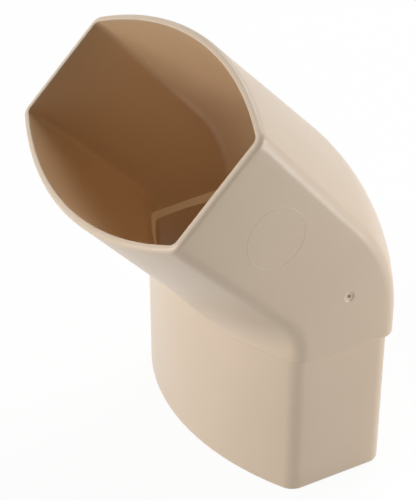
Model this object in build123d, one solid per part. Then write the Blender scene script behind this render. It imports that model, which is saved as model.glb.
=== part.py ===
"""Downpipe elbow: one moulded piece that turns a barrel-shaped rainwater pipe through 45 degrees.

Millimetres. +Z runs up the spigot, whose cut end stands on Z = 0 with its axis through the origin.
The socket leans towards -X. The straight ends of the section face -Y and +Y.
"""
from build123d import *
from math import cos, radians, sin, sqrt
import os

# Pipe the elbow belongs to, measured outside.
PIPE_WIDTH = 90.0
PIPE_DEPTH = 56.0

# Spigot: same section as the pipe, open at the bottom.
SPIGOT_LENGTH = 46.3
SPIGOT_FLAT = 30.6
SPIGOT_CORNER_RADIUS = 5.4
SPIGOT_WALL = 2.3
SPIGOT_EDGE_CHAMFER = 0.6

# Body: stands proud of the spigot, most at the back and least at the front.
STEP_SIDE = 1.8
STEP_FRONT = 0.5
STEP_BACK = 3.5
BODY_FLAT = 31.6
BODY_CORNER_RADIUS = 5.3
BODY_WALL = 2.1

# Bend: a straight rise above the step, then a turn about an axis just clear of the front.
BEND_ANGLE = 45.0
BEND_RISE = 7.0
BEND_AXIS_CLEARANCE = 0.5
BELLY = 3.4
LEDGE_SLOPE = 2.5

# Socket: widens from the bend to a straight band with a rounded rim, so a pipe wedges before it bottoms.
SOCKET_LENGTH = 48.3
SOCKET_MOUTH_CLEARANCE = 0.9
SOCKET_DEPTH = 61.6
SOCKET_FLAT = 35.7
SOCKET_CORNER_RADIUS = 4.4
RIM_BAND = 3.0
RIM_ROUND = 0.8
RIM_LEAD_IN = 0.4

# Moulding gate mark on one straight side.
GATE_HEIGHT = 18.1
GATE_RADIUS = 1.6
GATE_DEPTH = 0.35
GATE_PIT_RADIUS = 0.5
GATE_PIT_DEPTH = 0.8

# Sizes that follow from the ones above.
SPIGOT_HALF = PIPE_WIDTH / 2
SPIGOT_REACH = PIPE_DEPTH / 2
BODY_HALF = SPIGOT_HALF + STEP_SIDE
BODY_FRONT = SPIGOT_REACH + STEP_FRONT
BODY_BACK = SPIGOT_REACH + STEP_BACK
MOUTH_HALF = SPIGOT_HALF + SOCKET_MOUTH_CLEARANCE + BODY_WALL
BEND_RADIUS = BODY_FRONT + BEND_AXIS_CLEARANCE
BEND_HEIGHT = SPIGOT_LENGTH + BEND_RISE
TURN = radians(BEND_ANGLE)
SMALLEST_INNER_RADIUS = 0.8


def section(half_width, front, back, flat, corner_radius, inset=0.0):
    """Barrel section: straight ends at y = +-half_width, bowed sides that reach x = -front and x = back.

    flat is the length of a straight end between its sharp corners. inset moves the whole outline inwards.
    """

    def corner(reach):
        sag = reach - flat / 2
        radius = (sag**2 + half_width**2) / (2 * sag)
        return reach - radius + sqrt((radius - inset) ** 2 - (half_width - inset) ** 2)

    y = half_width - inset
    x_front, x_back = corner(front), corner(back)
    outline = [
        ThreePointArc((x_back, -y), (back - inset, 0), (x_back, y)),
        Line((x_back, y), (-x_front, y)),
        ThreePointArc((-x_front, y), (inset - front, 0), (-x_front, -y)),
        Line((-x_front, -y), (x_back, -y)),
    ]
    face = make_face(outline)
    return fillet(face.vertices(), max(corner_radius - inset, SMALLEST_INNER_RADIUS))


def spigot_section(inset=0.0):
    return section(SPIGOT_HALF, SPIGOT_REACH, SPIGOT_REACH, SPIGOT_FLAT, SPIGOT_CORNER_RADIUS, inset)


def body_section(inset=0.0):
    return section(BODY_HALF, BODY_FRONT, BODY_BACK, BODY_FLAT, BODY_CORNER_RADIUS, inset)


def root_section(inset=0.0):
    return section(BODY_HALF, BEND_RADIUS + BELLY, BODY_BACK, BODY_FLAT, BODY_CORNER_RADIUS, inset)


def mouth_section(inset=0.0):
    return section(MOUTH_HALF, SOCKET_DEPTH / 2, SOCKET_DEPTH / 2, SOCKET_FLAT, SOCKET_CORNER_RADIUS, inset)


def socket_plane(distance):
    """Plane across the socket, at a distance along it from the end of the bend."""
    along = Vector(-sin(TURN), 0, cos(TURN))
    across = Vector(cos(TURN), 0, sin(TURN))
    origin = Vector(-BEND_RADIUS, 0, BEND_HEIGHT) + across * BEND_RADIUS + along * distance
    return Plane(origin=origin, x_dir=across, z_dir=along)


def bend_and_socket(inset=0.0):
    """Everything above the bend plane: the turn, the belly under it and the socket up to its mouth."""
    bend_axis = Axis((-BEND_RADIUS, 0, BEND_HEIGHT), (0, -1, 0))
    turn = revolve(Pos(0, 0, BEND_HEIGHT) * body_section(inset), bend_axis, BEND_ANGLE)

    root, mouth = root_section(inset), mouth_section(inset)
    band_start = socket_plane(SOCKET_LENGTH - RIM_BAND)
    socket = loft([socket_plane(0) * root, band_start * mouth], ruled=True)
    rim_band = extrude(band_start * mouth, RIM_BAND)

    # The socket's lower bow carries on past the bend plane until it is inside the front of the body.
    belly_reach = max(BELLY - inset, 0)
    to_front = BEND_AXIS_CLEARANCE + inset + BODY_WALL / 2
    run = (to_front + belly_reach * cos(TURN)) / sin(TURN)
    lower_half = root & Pos(-PIPE_DEPTH, 0) * Rectangle(2 * PIPE_DEPTH - SOCKET_FLAT, 4 * PIPE_WIDTH)
    belly = extrude(socket_plane(0) * lower_half, -run)
    return turn + socket + rim_band + belly


outside = extrude(spigot_section(), SPIGOT_LENGTH)
outside += extrude(Pos(0, 0, SPIGOT_LENGTH) * body_section(), BEND_RISE)
outside += bend_and_socket()

slope_start = BEND_HEIGHT - LEDGE_SLOPE
inside = extrude(spigot_section(SPIGOT_WALL), slope_start)
inside += loft(
    [
        Pos(0, 0, slope_start) * spigot_section(SPIGOT_WALL),
        Pos(0, 0, BEND_HEIGHT) * body_section(BODY_WALL),
    ],
    ruled=True,
)
inside += bend_and_socket(BODY_WALL)

elbow = outside - inside

rim = elbow.faces().sort_by(Axis((0, 0, 0), (-sin(TURN), 0, cos(TURN))))[-1]
elbow = fillet(rim.outer_wire().edges(), RIM_ROUND)
rim = elbow.faces().sort_by(Axis((0, 0, 0), (-sin(TURN), 0, cos(TURN))))[-1]
elbow = chamfer(rim.inner_wires()[0].edges(), RIM_LEAD_IN)
foot = elbow.faces().sort_by(Axis.Z)[0]
elbow = chamfer(foot.outer_wire().edges(), SPIGOT_EDGE_CHAMFER)

gate = Pos(0, -BODY_HALF, SPIGOT_LENGTH + GATE_HEIGHT) * Rot(90, 0, 0)
elbow -= gate * Cylinder(GATE_RADIUS, 2 * GATE_DEPTH)
elbow -= gate * Cylinder(GATE_PIT_RADIUS, 2 * GATE_PIT_DEPTH)

os.makedirs("parts", exist_ok=True)
export_step(elbow, "parts/elbow.step")
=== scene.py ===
# %% [markdown]
# # A moulded downpipe elbow
# This lesson dresses one rainwater fitting: a thin plastic tube with straight ends and bowed sides that turns
# through 45 degrees. It could be modelled by eye in an empty file, but then nothing would tie its size to the
# solid. So we load the imported solid first. It is the frame, and every size below is in the same place as
# the solid.

# %% Load the frame
import math

import bpy
import numpy as np
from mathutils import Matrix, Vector


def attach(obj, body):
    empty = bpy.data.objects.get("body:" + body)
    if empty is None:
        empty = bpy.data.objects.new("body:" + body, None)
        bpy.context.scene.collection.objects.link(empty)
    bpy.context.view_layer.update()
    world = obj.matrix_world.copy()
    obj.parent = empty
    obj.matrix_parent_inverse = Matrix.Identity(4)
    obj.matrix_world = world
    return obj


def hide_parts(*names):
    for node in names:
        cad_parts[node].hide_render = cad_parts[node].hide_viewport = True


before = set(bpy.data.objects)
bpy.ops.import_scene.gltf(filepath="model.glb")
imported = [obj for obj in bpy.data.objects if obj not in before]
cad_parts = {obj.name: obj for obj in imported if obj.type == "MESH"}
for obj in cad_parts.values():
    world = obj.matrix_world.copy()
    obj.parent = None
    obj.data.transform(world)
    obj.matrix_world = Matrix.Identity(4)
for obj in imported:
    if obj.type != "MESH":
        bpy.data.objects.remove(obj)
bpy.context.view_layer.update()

# %% [markdown]
# ## The section
# Cut the elbow anywhere and you see a barrel: two straight ends joined by two shallow bows, with small rounds
# at the corners. A curve object could draw it, but we could not say where its points fall. Here we can. The
# straight side carries a small mark later, so its points lie closer together where the mark will be.

# %% Lines along a straight end
MM = 0.001
FLAT_POINTS = 15
GATE_ACROSS = 0.577        # place of the gate mark along the near straight end, as a share of its length
GATE_BAND = 0.13           # share of the straight end, each side of the mark, that gets close lines
GATE_LINES = 31


def straight_shares(dense):
    """Shares 0 to 1 along a straight end, with extra lines around the gate mark where it is asked for."""
    even = np.linspace(0, 1, FLAT_POINTS)
    if not dense:
        return even
    near = GATE_ACROSS + np.linspace(-GATE_BAND, GATE_BAND, GATE_LINES)
    return np.union1d(even[np.abs(even - GATE_ACROSS) > GATE_BAND], near)


print("lines along the plain and the marked end", len(straight_shares(False)), len(straight_shares(True)))

# %% [markdown]
# Now the outline. One function makes it for the spigot, the body and the mouth. It always returns the same
# number of points in the same order, so that a point on one section can be joined to the same point on the
# next. It returns outward normals too, because a wall is the outline moved along them.

# %% Section outline
BOW_POINTS, CORNER_POINTS = 97, 14


def barrel(half_width, front, back, flat, corner, front_flat=None):
    """Closed outline (points, normals): straight ends at y = +-half_width, bows that reach -front and back.

    A bow is an arc of radius R = (s*s + w*w) / 2s, with sag s and half width w. A corner is an arc of radius
    c tangent to both, so its centre is R - c from the bow's centre and c below the straight end. front_flat
    sets the front corners apart from the back ones, as if the straight ends had that length.
    """

    def quarter(reach, flat):
        """Points and normals of the bow on the side of positive x, then of the round at its far end."""
        sag = reach - flat / 2
        radius = (sag**2 + half_width**2) / (2 * sag)
        centre = reach - radius
        corner_x = centre + math.sqrt((radius - corner) ** 2 - (half_width - corner) ** 2)
        turn = math.atan2(half_width - corner, corner_x - centre)
        bow = np.linspace(-turn, turn, BOW_POINTS)
        rounding = np.linspace(turn, math.pi / 2, CORNER_POINTS)[1:]
        return (
            np.c_[centre + radius * np.cos(bow), radius * np.sin(bow)],
            np.c_[np.cos(bow), np.sin(bow)],
            np.c_[corner_x + corner * np.cos(rounding), half_width - corner + corner * np.sin(rounding)],
            np.c_[np.cos(rounding), np.sin(rounding)],
        )

    def straight(start, end, y, dense):
        """Points and normals between the ends of a straight end: x = start + (end - start) * share."""
        share = straight_shares(dense)[1:-1]
        points = np.c_[start + (end - start) * share, np.full(share.size, y)]
        return points, np.tile([0.0, math.copysign(1, y)], (share.size, 1))

    bow_b, bow_bn, round_b, round_bn = quarter(back, flat)
    bow_f, bow_fn, round_f, round_fn = (a * [-1, 1] for a in quarter(front, front_flat or flat))
    far, far_n = straight(round_b[-1, 0], round_f[-1, 0], half_width, False)
    near, near_n = straight(round_f[-1, 0], round_b[-1, 0], -half_width, True)
    flip = np.array([1, -1])
    points = [bow_b, round_b, far, round_f[::-1], bow_f[::-1], round_f * flip, near, (round_b * flip)[::-1]]
    normals = [
        bow_bn, round_bn, far_n, round_fn[::-1],
        bow_fn[::-1], round_fn * flip, near_n, (round_bn * flip)[::-1],
    ]
    return np.vstack(points), np.vstack(normals)


SPIGOT_HALF, SPIGOT_REACH, SPIGOT_FLAT, SPIGOT_CORNER = 45.0 * MM, 28.0 * MM, 30.6 * MM, 5.4 * MM
BODY_HALF, BODY_FRONT, BODY_BACK = 46.8 * MM, 28.5 * MM, 31.5 * MM
BODY_FLAT, BODY_CORNER = 31.6 * MM, 5.3 * MM
BELLY_FRONT, BELLY_FLAT = 31.9 * MM, 34.4 * MM
MOUTH_HALF, MOUTH_REACH, MOUTH_FLAT, MOUTH_CORNER = 48.0 * MM, 30.8 * MM, 35.7 * MM, 4.4 * MM
SPIGOT_WALL, BODY_WALL = 2.3 * MM, 2.1 * MM

spigot, spigot_n = barrel(SPIGOT_HALF, SPIGOT_REACH, SPIGOT_REACH, SPIGOT_FLAT, SPIGOT_CORNER)
body, body_n = barrel(BODY_HALF, BODY_FRONT, BODY_BACK, BODY_FLAT, BODY_CORNER)
root, root_n = barrel(BODY_HALF, BELLY_FRONT, BODY_BACK, BODY_FLAT, BODY_CORNER, front_flat=BELLY_FLAT)
mouth, mouth_n = barrel(MOUTH_HALF, MOUTH_REACH, MOUTH_REACH, MOUTH_FLAT, MOUTH_CORNER)
print("points round each section:", len(spigot), len(body), len(root), len(mouth))

# %% [markdown]
# ## The path through the bend
# Follow one point of the section up the elbow. It climbs straight, turns, and runs on along the socket. A
# profile swept along one curve would fold over at the front, where the belly of the socket meets the body in
# a crease. So each point gets a path of its own: two straight lines and a curve that touches both. At the
# back the curve is a wide arc, and at the crease it is small. The step lies just below, so there the curve
# eases out along the belly instead, and is softest near the corners. One formula covers it all.

# %% Bend path
SPIGOT_LENGTH, BEND_RISE, SOCKET_LENGTH = 46.3 * MM, 7.0 * MM, 48.3 * MM
BEND_X, BEND_Z = -29.0 * MM, SPIGOT_LENGTH + BEND_RISE
TURN = math.radians(45)
CREASE_ROUND = 11.0 * MM
CREASE_EASE, EASE_SPAN = 8.0 * MM, 16.0 * MM    # extra length along the belly, and where it fades out
TURN_LOWEST = SPIGOT_LENGTH + 1.0 * MM
ALONG = np.array([-math.sin(TURN), 0, math.cos(TURN)])
ACROSS = np.array([math.cos(TURN), 0, math.sin(TURN)])


def socket_point(section, distance):
    """Section points at a distance along the socket: axis + across * (x - axis x) + along * distance."""
    flat_part = np.zeros(section.shape[:-1] + (3,))
    flat_part[..., 1] = section[..., 1]
    lifted = flat_part + np.multiply.outer(section[..., 0] - BEND_X, ACROSS)
    return lifted + np.array([BEND_X, 0, BEND_Z]) + np.multiply.outer(distance, ALONG)


def bend_path(low, high):
    """Corner height, start height and end distance of the curve that joins each riser to its run.

    The riser x = low and the run at offset r = high - axis meet at distance (axis + r cos t - low) / sin t
    along the socket. The curve leaves the riser R tan(t/2) below that corner, where R is the fourth root of
    r^4 + c^4: r at the back, and c at the crease where r is below 0. It joins the run as far past the corner,
    or farther at the crease. No curve starts below the step.
    """
    offset = high[:, 0] - BEND_X
    meet = (BEND_X + offset * math.cos(TURN) - low[:, 0]) / math.sin(TURN)
    corner = BEND_Z + offset * math.sin(TURN) + meet * math.cos(TURN)
    reach = (np.maximum(offset, 0) ** 4 + CREASE_ROUND**4) ** 0.25 * math.tan(TURN / 2)
    ease = CREASE_EASE * np.clip(1 - offset / EASE_SPAN, 0, 1)
    return corner, np.maximum(corner - reach, TURN_LOWEST), meet + reach + ease


outer_start = bend_path(body, root)[1]
lowest, highest = round(outer_start.min() / MM, 2), round(outer_start.max() / MM, 2)
print("the turn starts between", lowest, "and", highest, "mm up")

# %% [markdown]
# Next we take all the points of a section along their paths together, as whole arrays. A loop over the points
# would do the same, only slower. The straight riser, the curve and the straight run become rows of one grid,
# and the rows lie closer together where the mark will be.

# %% Rings through the bend
RIM_BAND = 3.0 * MM
GATE_Z = SPIGOT_LENGTH + 18.1 * MM
GATE_TURN = math.atan2(GATE_Z - BEND_Z, -BEND_X)
GATE_TURN_BAND = 0.11      # share of the turn, each side of the mark, that gets close lines
TURN_LINES, RUN_LINES = 27, 36


def turn_shares():
    """Shares 0 to 1 of the turn, with close lines where the gate mark lies."""
    even = np.linspace(0, 1, TURN_LINES)
    gate = GATE_TURN / TURN
    near = gate + np.linspace(-GATE_TURN_BAND, GATE_TURN_BAND, GATE_LINES)
    return np.union1d(even[np.abs(even - gate) > GATE_TURN_BAND], near)


def rising_rings(low, high, top, riser_heights, end_drop):
    """Rings from the riser through the turn to the mouth: straight, curve, then a straight run that widens.

    The curve of half angle h from A past corner B to C is
    (A sin^2 q + 2 B cos h sin p sin q + C sin^2 p) / sin^2 h, with p from 0 to h and q = h - p.
    It is a circle where A and C lie as far from B, and an ellipse elsewhere. Row s of the result is the whole
    section at step s. riser_heights holds the heights of the rows below the turn, one for each point of the
    section, because the turn starts lower at the crease.
    """
    corner, start, end = bend_path(low, high)
    flat_part = np.broadcast_to(low, (len(riser_heights),) + low.shape)
    riser = np.concatenate([flat_part, riser_heights[..., None]], -1)

    def socket_ring(distance):
        """Ring at a distance along the socket, widened in proportion to it up to the rim band."""
        widen = np.clip(distance / (SOCKET_LENGTH - RIM_BAND), 0, 1)[..., None]
        return socket_point(high + (top - high) * widen, distance)

    first, middle, last = np.c_[low, start], np.c_[low, corner], socket_ring(end)
    middle[:, 1] = (first[:, 1] + last[:, 1]) / 2
    half = TURN / 2
    share = turn_shares()[:, None, None]
    near, far = np.sin(half * share), np.sin(half * (1 - share))
    curve = (far**2 * first + 2 * math.cos(half) * near * far * middle + near**2 * last) / math.sin(half) ** 2

    step = np.linspace(0, 1, RUN_LINES)[1:, None]
    run = socket_ring(end + (SOCKET_LENGTH - end_drop - end) * step)
    return np.concatenate([riser, curve, run])


print("lines in the turn", len(turn_shares()), "and along the socket", RUN_LINES - 1)

# %% [markdown]
# ## One closed skin
# The real elbow is a single moulded shell. A Solidify modifier could thicken an outer surface, but this wall
# is thicker in the spigot than in the socket. So we make one surface that goes up the outside, over the rim,
# down the inside and round the foot until it meets itself. That leaves no open seam, and the rounds on the
# rim, the step and the foot are simply more rings of the same grid. First come the rings of the outside.

# %% Outside rings
RIM_ROUND, RIM_INNER_ROUND = 1.3 * MM, 0.3 * MM
FOOT_ROUND, FOOT_INNER_ROUND = 0.6 * MM, 0.4 * MM
STEP_ROUND = 0.7 * MM
STEP_RISE = 1.2 * STEP_ROUND
LIP_POINTS, STEP_POINTS = 7, 5
SPIGOT_LINES, RISER_LINES = 24, 6


def lip(outer_round, inner_round, wall):
    """Rounded end of a wall as (inset, depth below the end) pairs: outer arc, flat, inner arc.

    Each arc is r (1 - cos a), r (1 - sin a) with a from 0 to 90 degrees, and the inner one is mirrored.
    """
    a = np.linspace(0, math.pi / 2, LIP_POINTS)
    outer = np.c_[outer_round * (1 - np.cos(a)), outer_round * (1 - np.sin(a))]
    b = a[::-1]
    inner = np.c_[wall - inner_round * (1 - np.cos(b)), inner_round * (1 - np.sin(b))]
    return np.vstack([outer, inner])


def upright(section, height):
    """One ring: (x, y) of the section at a height."""
    return np.c_[section, np.full(len(section), height)]


step_edge = [
    upright(body - STEP_ROUND * (1 - math.sin(t)) * body_n, SPIGOT_LENGTH + STEP_ROUND * (1 - math.cos(t)))
    for t in np.linspace(0, math.pi / 2, STEP_POINTS)
]
foot_lip = lip(FOOT_ROUND, FOOT_INNER_ROUND, SPIGOT_WALL)[::-1]
foot = [upright(spigot - inset * spigot_n, depth) for inset, depth in foot_lip]
spigot_wall = [upright(spigot, z) for z in np.linspace(FOOT_ROUND, SPIGOT_LENGTH, SPIGOT_LINES)[1:]]
step_top = SPIGOT_LENGTH + STEP_RISE
riser_share = np.linspace(0, 1, RISER_LINES)[:-1, None]
outer_heights = step_top + (outer_start - step_top) * riser_share
outside = rising_rings(body, root, mouth, outer_heights, RIM_ROUND)
rim = [
    socket_point(mouth - inset * mouth_n, SOCKET_LENGTH - depth)
    for inset, depth in lip(RIM_ROUND, RIM_INNER_ROUND, BODY_WALL)[1:]
]
print("outside rings", len(foot) + len(spigot_wall) + len(step_edge) + len(outside) + len(rim))

# %% [markdown]
# The inside follows the same path one wall thickness in. The spigot has the thicker wall, so a short sloped
# ledge at the foot of the bend joins its bore to the wider body. It could be a separate piece, but then it
# would leave a seam. Instead each ring mixes the two sections: a share of 1 means the bore and 0 the body.

# %% Inside rings
LEDGE_SLOPE, LEDGE_SOFT = 2.5 * MM, 0.25 * MM
LEDGE_LEAST = 0.6 * LEDGE_SLOPE
BORE_TOP, BORE_LINES = BEND_Z - 12 * MM, 16
bore = spigot - SPIGOT_WALL * spigot_n
body_in, root_in, mouth_in = (
    section - BODY_WALL * normals for section, normals in ((body, body_n), (root, root_n), (mouth, mouth_n))
)
inner_start = bend_path(body_in, root_in)[1]
ledge_foot = np.minimum(BEND_Z - LEDGE_SLOPE, inner_start - LEDGE_LEAST)
soft_share = LEDGE_SOFT / LEDGE_SLOPE
ledge_share = np.array([0, soft_share, 0.5, 1 - soft_share])
inner_heights = np.vstack([
    np.full(len(bore), BORE_TOP),
    ledge_foot - LEDGE_SOFT,
    ledge_foot + (inner_start - ledge_foot) * ledge_share[:, None],
])
inside = rising_rings(body_in, root_in, mouth_in, inner_heights, RIM_INNER_ROUND)
thick_share = np.zeros(len(inside))
thick_share[: len(inner_heights)] = np.r_[1, 1, 1 - ledge_share]
inside[..., :2] += thick_share[:, None, None] * (bore - body_in)
bore_wall = [upright(bore, z) for z in np.linspace(BORE_TOP, FOOT_INNER_ROUND, BORE_LINES)[1:-1]]

rings = np.concatenate([foot, spigot_wall, step_edge, outside, rim, inside[::-1][1:], bore_wall])
print("rings", rings.shape[0], "points in a ring", rings.shape[1])

# %% [markdown]
# ## The gate mark
# Plastic entered the mould at one spot on the straight side and left a shallow dish with a pit in the middle.
# A Boolean could cut it, but would leave long thin faces that shade badly. The grid has close lines there, so
# the mark is pushed into the surface itself. Dish and pit each go from 0 at the edge of their circle to 1
# over a short slope.

# %% Gate mark
GATE_RADIUS, GATE_DEPTH = 1.6 * MM, 0.32 * MM
PIT_RADIUS, PIT_DEPTH = 0.62 * MM, 0.75 * MM
DISH_EDGE, PIT_EDGE = 0.45 * MM, 0.3 * MM
SIDE_DEPTH = 0.5 * MM
near_side = np.zeros(rings.shape[:2], bool)
near_side[: len(foot) + len(spigot_wall) + len(step_edge) + len(outside)] = True
near_side &= rings[..., 1] < -BODY_HALF + SIDE_DEPTH
from_gate = np.hypot(rings[..., 0], rings[..., 2] - GATE_Z)
dish = np.clip((GATE_RADIUS - from_gate) / DISH_EDGE, 0, 1)
pit = np.clip((PIT_RADIUS - from_gate) / PIT_EDGE, 0, 1)
rings[..., 1] += near_side * (GATE_DEPTH * dish + PIT_DEPTH * pit)
print("points moved by the gate mark", int((near_side & (dish > 0)).sum()))

# %% [markdown]
# ## From rings to a mesh
# The grid closes on itself both ways. Faces join each point to its neighbours with index arithmetic, and
# edges sharper than 40 degrees stay crisp while everything else is shaded smooth. Two shares are stored on
# the points, one for the painted shade inside the tube and one for the painted highlight on the ledge, and
# the plastic reads them later.

# %% Mesh helper
SHARP_ANGLE = math.radians(40)


def grid_mesh(name, grid):
    """Mesh of a grid that is closed in both directions: faces (s, i), (s, i+1), (s+1, i+1), (s+1, i)."""
    rows, columns = grid.shape[:2]
    index = np.arange(rows * columns).reshape(rows, columns)
    ahead, beside = np.roll(index, -1, 0), np.roll(index, -1, 1)
    faces = np.stack([index, beside, np.roll(ahead, -1, 1), ahead], -1).reshape(-1, 4)
    mesh = bpy.data.meshes.new(name)
    mesh.from_pydata(grid.reshape(-1, 3).tolist(), [], faces.tolist())
    mesh.polygons.foreach_set("use_smooth", np.ones(len(faces), bool))
    mesh.set_sharp_from_angle(angle=SHARP_ANGLE)
    mesh.update()
    piece = bpy.data.objects.new(name, mesh)
    bpy.context.scene.collection.objects.link(piece)
    return piece


elbow = grid_mesh("elbow_skin", rings)
first_inner = len(rings) - len(bore_wall) - len(inside) + 1
first_ledge = len(rings) - len(bore_wall) - len(inner_heights)
painted_shade_share, painted_highlight_share = np.zeros(rings.shape[:2]), np.zeros(rings.shape[:2])
# Painted shade: every row of the inside gets a share of 1, for a deeper, warmer colour in place of the light
# lost in the tube.
painted_shade_share[first_inner:] = 1
# Painted highlight: the ledge rows get a share of 1, for a paler colour in place of the light that falls on
# the ledge.
painted_highlight_share[first_ledge : first_ledge + len(ledge_share)] = 1
for name, share in (("inside", painted_shade_share), ("ledge", painted_highlight_share)):
    elbow.data.attributes.new(name, "FLOAT", "POINT").data.foreach_set("value", share.ravel())
print("elbow faces", len(elbow.data.polygons))

# %% [markdown]
# ## The round insert mark
# A round insert in the mould leaves a hair-thin ring on the straight side of the socket. A flattened torus
# could stand for it, but the side widens towards the rim, and a flat ring would sink in at one end. So a low
# bead is carried round a circle on the side itself, half of it sunk in the wall. The middle is left plain.

# %% Insert ring
INSERT_RADIUS, INSERT_DISTANCE = 9.0 * MM, 23.0 * MM
BEAD_WIDTH, BEAD_HEIGHT = 0.34 * MM, 0.06 * MM
BEAD_AROUND, BEAD_SIDES = 144, 10


def on_near_side(across, distance, lift):
    """Point on the near straight side of the socket: y = -(half width at that distance) - lift."""
    half = BODY_HALF + (MOUTH_HALF - BODY_HALF) * distance / (SOCKET_LENGTH - RIM_BAND)
    return socket_point(np.stack([across, -half - lift], -1), distance)


def bead_ring(radius, width, height):
    """Bead round a circle: radius + width/2 cos v across the wall and height sin v out of it."""
    u = np.linspace(0, 2 * math.pi, BEAD_AROUND + 1)[:-1, None]
    v = np.linspace(0, 2 * math.pi, BEAD_SIDES + 1)[None, :-1]
    reach = radius + width / 2 * np.cos(v)
    return on_near_side(reach * np.cos(u), INSERT_DISTANCE + reach * np.sin(u), height * np.sin(v) + 0 * u)


insert_mark = grid_mesh("insert_mark", bead_ring(INSERT_RADIUS, BEAD_WIDTH, BEAD_HEIGHT))
print("insert mark faces", len(insert_mark.data.polygons))

# %% [markdown]
# ## Sand-coloured plastic
# The elbow is dyed through, so one material covers it. It is satin: a broad soft sheen with no mirror. One
# flat colour would look like paint. A slow drift between two close tones looks more like moulded plastic. The
# noise reads Object coordinates, so the tones stay put from every side.

# %% Plastic colour
SAND = (0.680, 0.542, 0.405, 1)
SAND_DEEP = (0.655, 0.517, 0.382, 1)
DRIFT_SCALE, DRIFT_LOW, DRIFT_HIGH = 28, 0.3, 0.7

plastic = bpy.data.materials.new("sand_plastic")
plastic.use_nodes = True
nodes, links = plastic.node_tree.nodes, plastic.node_tree.links
shader = nodes["Principled BSDF"]
coordinates = nodes.new("ShaderNodeTexCoord")


def noise(scale, detail, roughness):
    """Noise on Object coordinates. scale counts features per metre."""
    node = nodes.new("ShaderNodeTexNoise")
    node.inputs["Scale"].default_value = scale
    node.inputs["Detail"].default_value = detail
    node.inputs["Roughness"].default_value = roughness
    links.new(coordinates.outputs["Object"], node.inputs["Vector"])
    return node


drift = noise(DRIFT_SCALE, 3, 0.5)
tone = nodes.new("ShaderNodeMix")
tone.data_type = "RGBA"
tone.inputs["A"].default_value = SAND
tone.inputs["B"].default_value = SAND_DEEP
spread = nodes.new("ShaderNodeMapRange")
spread.inputs["From Min"].default_value = DRIFT_LOW
spread.inputs["From Max"].default_value = DRIFT_HIGH
links.new(drift.outputs["Fac"], spread.inputs["Value"])
links.new(spread.outputs["Result"], tone.inputs["Factor"])
print("tones from", SAND[:3], "to", SAND_DEEP[:3])

# %% [markdown]
# Inside the tube the plastic is painted warmer and deeper. That is painted shade, standing in for the dim
# light that bounces about in there. The ledge is painted paler. That is a painted highlight, standing in for
# the light that falls on it. Separate materials could show that, with a hard line between them. The two
# shares stored on the mesh do it in one material.

# %% Painted inside shade and ledge highlight
# Painted shade: a deeper, warmer sand for the inside of the tube, standing in for the light that is lost in
# there.
PAINTED_INSIDE_SHADE = (0.710, 0.500, 0.300, 1)
# Painted highlight: a paler sand for the ledge, standing in for the light that falls on it down the mouth.
PAINTED_LEDGE_HIGHLIGHT = (0.960, 0.820, 0.640, 1)


def blend(base, name, colour):
    """Base colour with a second colour mixed in by a share stored on the mesh's points."""
    share = nodes.new("ShaderNodeAttribute")
    share.attribute_name = name
    mix = nodes.new("ShaderNodeMix")
    mix.data_type = "RGBA"
    mix.inputs["B"].default_value = colour
    links.new(share.outputs["Fac"], mix.inputs["Factor"])
    links.new(base, mix.inputs["A"])
    return mix.outputs["Result"]


# The inside gets its painted shade, then the ledge its painted highlight.
painted_shade_tone = blend(tone.outputs["Result"], "inside", PAINTED_INSIDE_SHADE)
links.new(blend(painted_shade_tone, "ledge", PAINTED_LEDGE_HIGHLIGHT), shader.inputs["Base Color"])
print("colour nodes", len(nodes))

# %% [markdown]
# The gloss is a little uneven, and the mould leaves a very fine grain. A picture could hold both, but it
# would need seams on a shape like this, and noise needs none. The grain is a bump a fraction of a millimetre
# deep, so it only breaks up the sheen. Then both pieces get the plastic and ride on the one body.

# %% Plastic gloss and grain
PLASTIC_IOR, PLASTIC_SPECULAR = 1.5, 0.6
GLOSS_SCALE, SMOOTHEST, ROUGHEST = 160, 0.30, 0.38
GRAIN_SCALE, GRAIN_STRENGTH, GRAIN_DEPTH = 2600, 0.06, 0.2 * MM

shader.inputs["IOR"].default_value = PLASTIC_IOR
shader.inputs["Specular IOR Level"].default_value = PLASTIC_SPECULAR
gloss = nodes.new("ShaderNodeMapRange")
gloss.inputs["To Min"].default_value = SMOOTHEST
gloss.inputs["To Max"].default_value = ROUGHEST
links.new(noise(GLOSS_SCALE, 2, 0.5).outputs["Fac"], gloss.inputs["Value"])
links.new(gloss.outputs["Result"], shader.inputs["Roughness"])

grain = nodes.new("ShaderNodeBump")
grain.inputs["Strength"].default_value = GRAIN_STRENGTH
grain.inputs["Distance"].default_value = GRAIN_DEPTH
links.new(noise(GRAIN_SCALE, 2, 0.6).outputs["Fac"], grain.inputs["Height"])
links.new(grain.outputs["Normal"], shader.inputs["Normal"])

for piece in (elbow, insert_mark):
    piece.data.materials.append(plastic)
    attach(piece, "root")
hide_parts("elbow")
print("plastic nodes", len(nodes))

# %% [markdown]
# ## Floor
# A catalogue picture stands on white paper. A plane would do, but its corners could show from a low angle, so
# the floor is a wide disc, a hair below the foot.

# %% Floor disc
FLOOR_RADIUS, FLOOR_SIDES = 3.0, 96
FLOOR_DROP = 0.0002


def disc(name, radius, height):
    """Flat disc: radius (cos t, sin t) at one height."""
    t = np.linspace(0, 2 * math.pi, FLOOR_SIDES + 1)[:-1]
    rim_points = np.c_[radius * np.cos(t), radius * np.sin(t), np.full(t.size, height)]
    mesh = bpy.data.meshes.new(name)
    mesh.from_pydata(rim_points.tolist(), [], [list(range(t.size))])
    obj = bpy.data.objects.new(name, mesh)
    bpy.context.scene.collection.objects.link(obj)
    return obj


floor = disc("floor", FLOOR_RADIUS, -FLOOR_DROP)
print("floor radius", FLOOR_RADIUS, "m")

# %% [markdown]
# Plain white paper would throw so much light back up that the underside of the elbow went pale. So the paper
# is white to the rays that make the picture and grey to the rays that carry light. A little of the grey shows
# in the picture too, and that keeps the shadow.

# %% Floor paper
FLOOR_WHITENESS, FLOOR_GLOW = 0.86, 1.08
PAPER, PAPER_ROUGHNESS = (0.55, 0.55, 0.55, 1), 0.9


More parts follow.
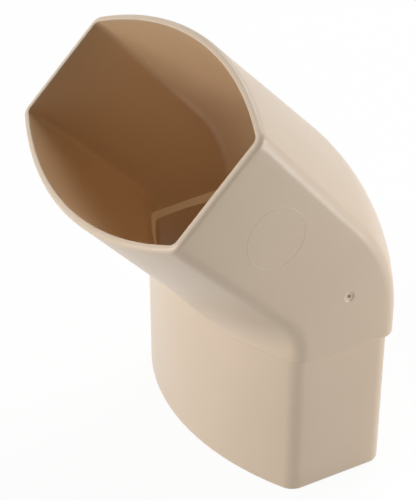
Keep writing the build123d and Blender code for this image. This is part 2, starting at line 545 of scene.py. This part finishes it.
def picture_rays(tree):
    """1 for a ray that makes the picture, seen directly, in a gloss or through glass. 0 for other rays."""
    rays = tree.nodes.new("ShaderNodeLightPath")
    total = rays.outputs["Is Camera Ray"]
    for kind in ("Is Glossy Ray", "Is Transmission Ray"):
        add = tree.nodes.new("ShaderNodeMath")
        add.operation, add.use_clamp = "ADD", True
        tree.links.new(total, add.inputs[0])
        tree.links.new(rays.outputs[kind], add.inputs[1])
        total = add.outputs["Value"]
    return total


paper = bpy.data.materials.new("white_paper")
paper.use_nodes = True
p_nodes, p_links = paper.node_tree.nodes, paper.node_tree.links
p_nodes["Principled BSDF"].inputs["Base Color"].default_value = PAPER
p_nodes["Principled BSDF"].inputs["Roughness"].default_value = PAPER_ROUGHNESS
glow = p_nodes.new("ShaderNodeEmission")
glow.inputs["Strength"].default_value = FLOOR_GLOW
whiteness = p_nodes.new("ShaderNodeMath")
whiteness.operation = "MULTIPLY"
whiteness.inputs[1].default_value = FLOOR_WHITENESS
lit = p_nodes.new("ShaderNodeMixShader")
p_links.new(picture_rays(paper.node_tree), whiteness.inputs[0])
p_links.new(whiteness.outputs["Value"], lit.inputs["Fac"])
p_links.new(p_nodes["Principled BSDF"].outputs["BSDF"], lit.inputs[1])
p_links.new(glow.outputs["Emission"], lit.inputs[2])
p_links.new(lit.outputs["Shader"], p_nodes["Material Output"].inputs["Surface"])
floor.data.materials.append(paper)
print("paper nodes", len(p_nodes))

# %% [markdown]
# ## Background
# Behind the elbow there is nothing but white. A white world would light it from every side and flatten it.
# So the background does what the paper does: it is white in the picture, and nearly black to the rays that
# carry light.

# %% Background
WHITE = (1, 1, 1, 1)
AMBIENT = 0.02

world = bpy.data.worlds.new("studio")
bpy.context.scene.world = world
world.use_nodes = True
w_nodes, w_links = world.node_tree.nodes, world.node_tree.links
ambient = w_nodes["Background"]
ambient.inputs["Color"].default_value = WHITE
ambient.inputs["Strength"].default_value = AMBIENT
white = w_nodes.new("ShaderNodeBackground")
white.inputs["Color"].default_value = WHITE
seen = w_nodes.new("ShaderNodeMixShader")
w_links.new(picture_rays(world.node_tree), seen.inputs["Fac"])
w_links.new(ambient.outputs["Background"], seen.inputs[1])
w_links.new(white.outputs["Background"], seen.inputs[2])
w_links.new(seen.outputs["Shader"], w_nodes["World Output"].inputs["Surface"])
print("ambient strength", AMBIENT)

# %% [markdown]
# ## Lamps
# A studio uses broad soft lamps. Sun lamps would give hard shadows, so these are area lamps. One big lamp
# hangs overhead, a little behind, and another stands on the left. Two small lamps on the right fill the
# straight side. No lamp faces the corner that points at the camera, so that corner stays a little darker.

# %% Lamps
TARGET = Vector((-0.016, 0, 0.064))
LAMPS = (    # name, place, size in metres, power in watts
    ("overhead", (0.50, 0.40, 0.88), 0.7, 6.0),
    ("left", (-0.98, 0.13, 0.32), 0.8, 10.3),
    ("right", (0.21, -0.27, 0.05), 0.18, 0.62),
    ("right_high", (0.95, -0.50, 0.33), 0.3, 3.3),
)


def lamp(name, place, size, power):
    """Square area lamp at a place, turned to the middle of the elbow."""
    data = bpy.data.lights.new(name, "AREA")
    data.size = size
    data.energy = power
    obj = bpy.data.objects.new(name, data)
    obj.location = place
    obj.rotation_euler = (TARGET - Vector(place)).to_track_quat("-Z", "Y").to_euler()
    bpy.context.scene.collection.objects.link(obj)


for lamp_row in LAMPS:
    lamp(*lamp_row)
print("lamps", len(LAMPS))

# %% [markdown]
# ## Camera
# The camera stands where the photographer's did. It could be moved about by eye until the picture looks
# right, but its place and lens came from fitting the elbow's edges to the photograph, which is closer. The
# Standard view shows the colours as they are mixed.

# %% Camera
VIEW_AZIMUTH, VIEW_ELEVATION = math.radians(-29.42), math.radians(30.41)
VIEW_DISTANCE = 0.4194
AIM = Vector((-0.01855, 0.0001, 0.06085))
FOCAL_PIXELS, FRAME_PIXELS, SENSOR = 1410.4, 500, 36

back = Vector((
    math.sin(VIEW_AZIMUTH) * math.cos(VIEW_ELEVATION),
    -math.cos(VIEW_AZIMUTH) * math.cos(VIEW_ELEVATION),
    math.sin(VIEW_ELEVATION),
))
view = bpy.data.cameras.new("view")
view.sensor_width = SENSOR
view.lens = FOCAL_PIXELS * SENSOR / FRAME_PIXELS
camera = bpy.data.objects.new("view", view)
camera.location = AIM + back * VIEW_DISTANCE
camera.rotation_euler = back.to_track_quat("Z", "Y").to_euler()
bpy.context.scene.collection.objects.link(camera)
bpy.context.scene.camera = camera
bpy.context.scene.view_settings.view_transform = "Standard"
print("camera at", [round(v, 4) for v in camera.location], "lens", round(view.lens, 2))
